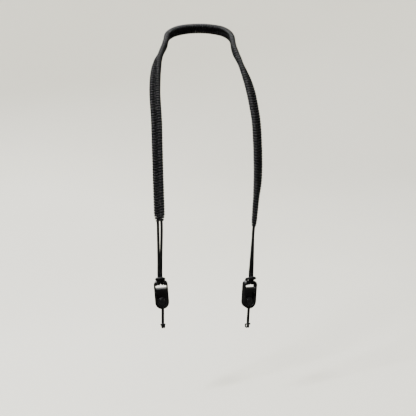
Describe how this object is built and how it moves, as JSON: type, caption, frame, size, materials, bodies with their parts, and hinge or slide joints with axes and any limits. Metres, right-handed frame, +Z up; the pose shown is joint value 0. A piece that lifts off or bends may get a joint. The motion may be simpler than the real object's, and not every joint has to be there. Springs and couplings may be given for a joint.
{
  "type": "camera neck strap",
  "caption": "Neck strap woven from thick black cord, with folded cord tails, quick-release links that hold round discs, and thin lug cords for a camera.",
  "frame": {"origin": "middle of the band's inner face at the nape, where the strap rests on the back of the neck", "axes": "+Z up, the strap's hanging sides and links point down; -Y forward, towards the chest and the viewer; +X to the right as seen from the front"},
  "size_m": [0.1844, 0.1986, 0.4999],
  "materials": {
    "woven_cord": "black nylon cord with a braided sheath, woven tightly in a figure of eight over two core cords",
    "braided_cord": "black nylon cord with a fine braided sheath and a soft sheen",
    "link_nylon": "black glass-filled nylon, injection moulded, fine satin texture",
    "disc_nylon": "black nylon disc, moulded, satin face",
    "lug_cord": "thin black coated braided cord"
  },
  "bodies": {
    "root": {"woven_band": "woven_cord", "left_tail_cord": "braided_cord", "right_tail_cord": "braided_cord", "left_link_housing": "link_nylon", "right_link_housing": "link_nylon", "left_anchor_disc": "disc_nylon", "right_anchor_disc": "disc_nylon", "left_lug_cord": "lug_cord", "right_lug_cord": "lug_cord"}
  },
  "joints": []
}
